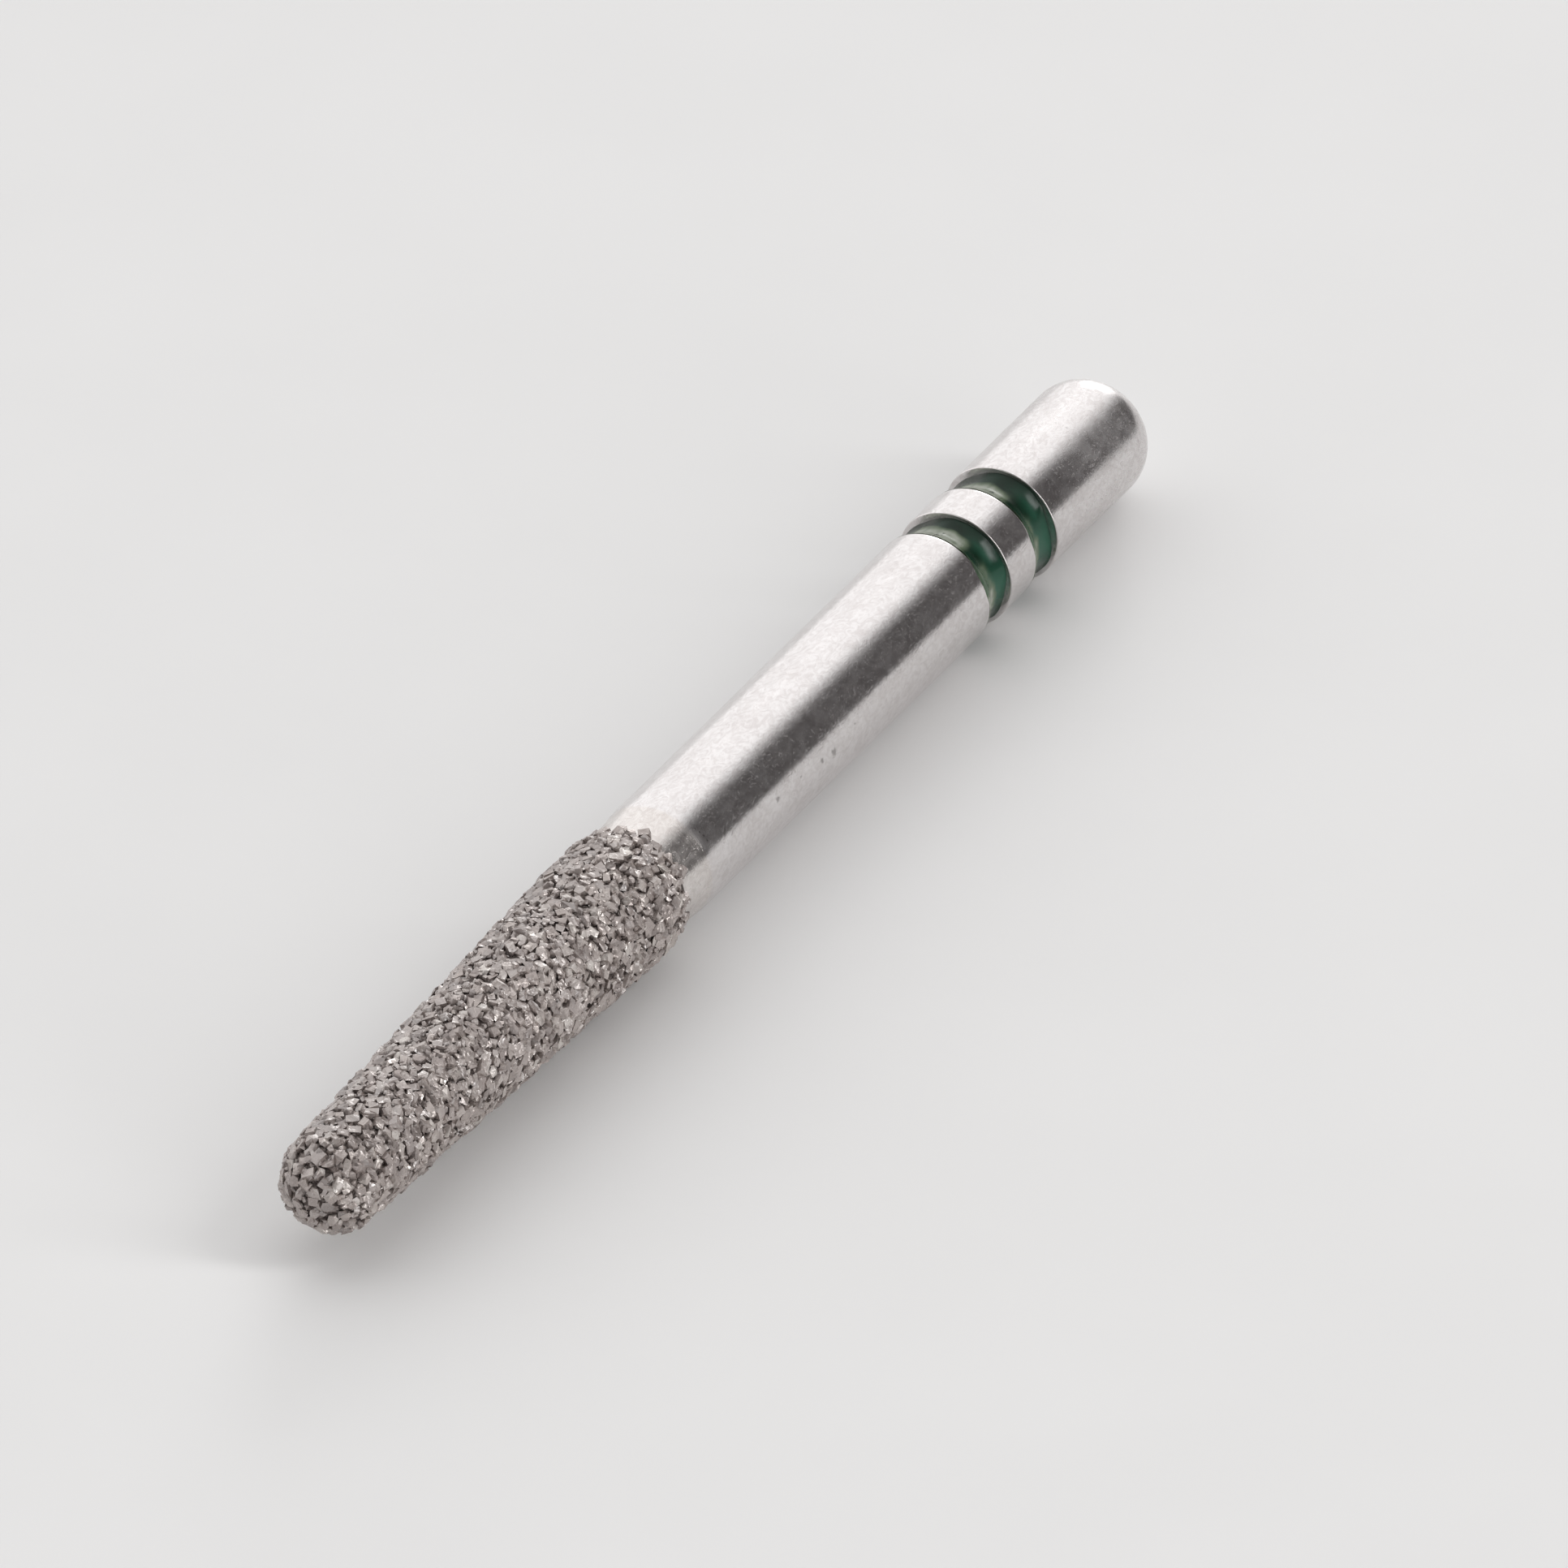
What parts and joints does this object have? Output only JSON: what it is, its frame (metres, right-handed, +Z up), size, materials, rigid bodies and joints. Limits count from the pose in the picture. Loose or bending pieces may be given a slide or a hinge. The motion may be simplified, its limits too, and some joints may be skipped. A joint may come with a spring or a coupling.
{
  "type": "dental bur",
  "caption": "Rotary dental cutting instrument: a plain steel friction-grip shank with green colour rings, and a tapered, round-ended head covered in diamond grit.",
  "frame": {"origin": "centre of the flat of the butt end, on the bur's axis", "axes": "+X along the axis from the butt end to the working tip, +Z up with the bur lying level; it is a body of revolution, so Y and Z are alike"},
  "size_m": [0.0198, 0.0018, 0.0018],
  "materials": {
    "polished_steel": "turned and polished stainless steel, fine lengthwise and round scratches",
    "green_lacquer": "glossy dark green lacquer baked into the grooves",
    "nickel_plating": "matt electroplated nickel",
    "diamond": "blunt grey-brown diamond crystals"
  },
  "bodies": {
    "root": {"steel_blank": "polished_steel", "rear_colour_ring": "green_lacquer", "front_colour_ring": "green_lacquer", "nickel_bond": "nickel_plating", "diamond_grit": "diamond"}
  },
  "joints": []
}
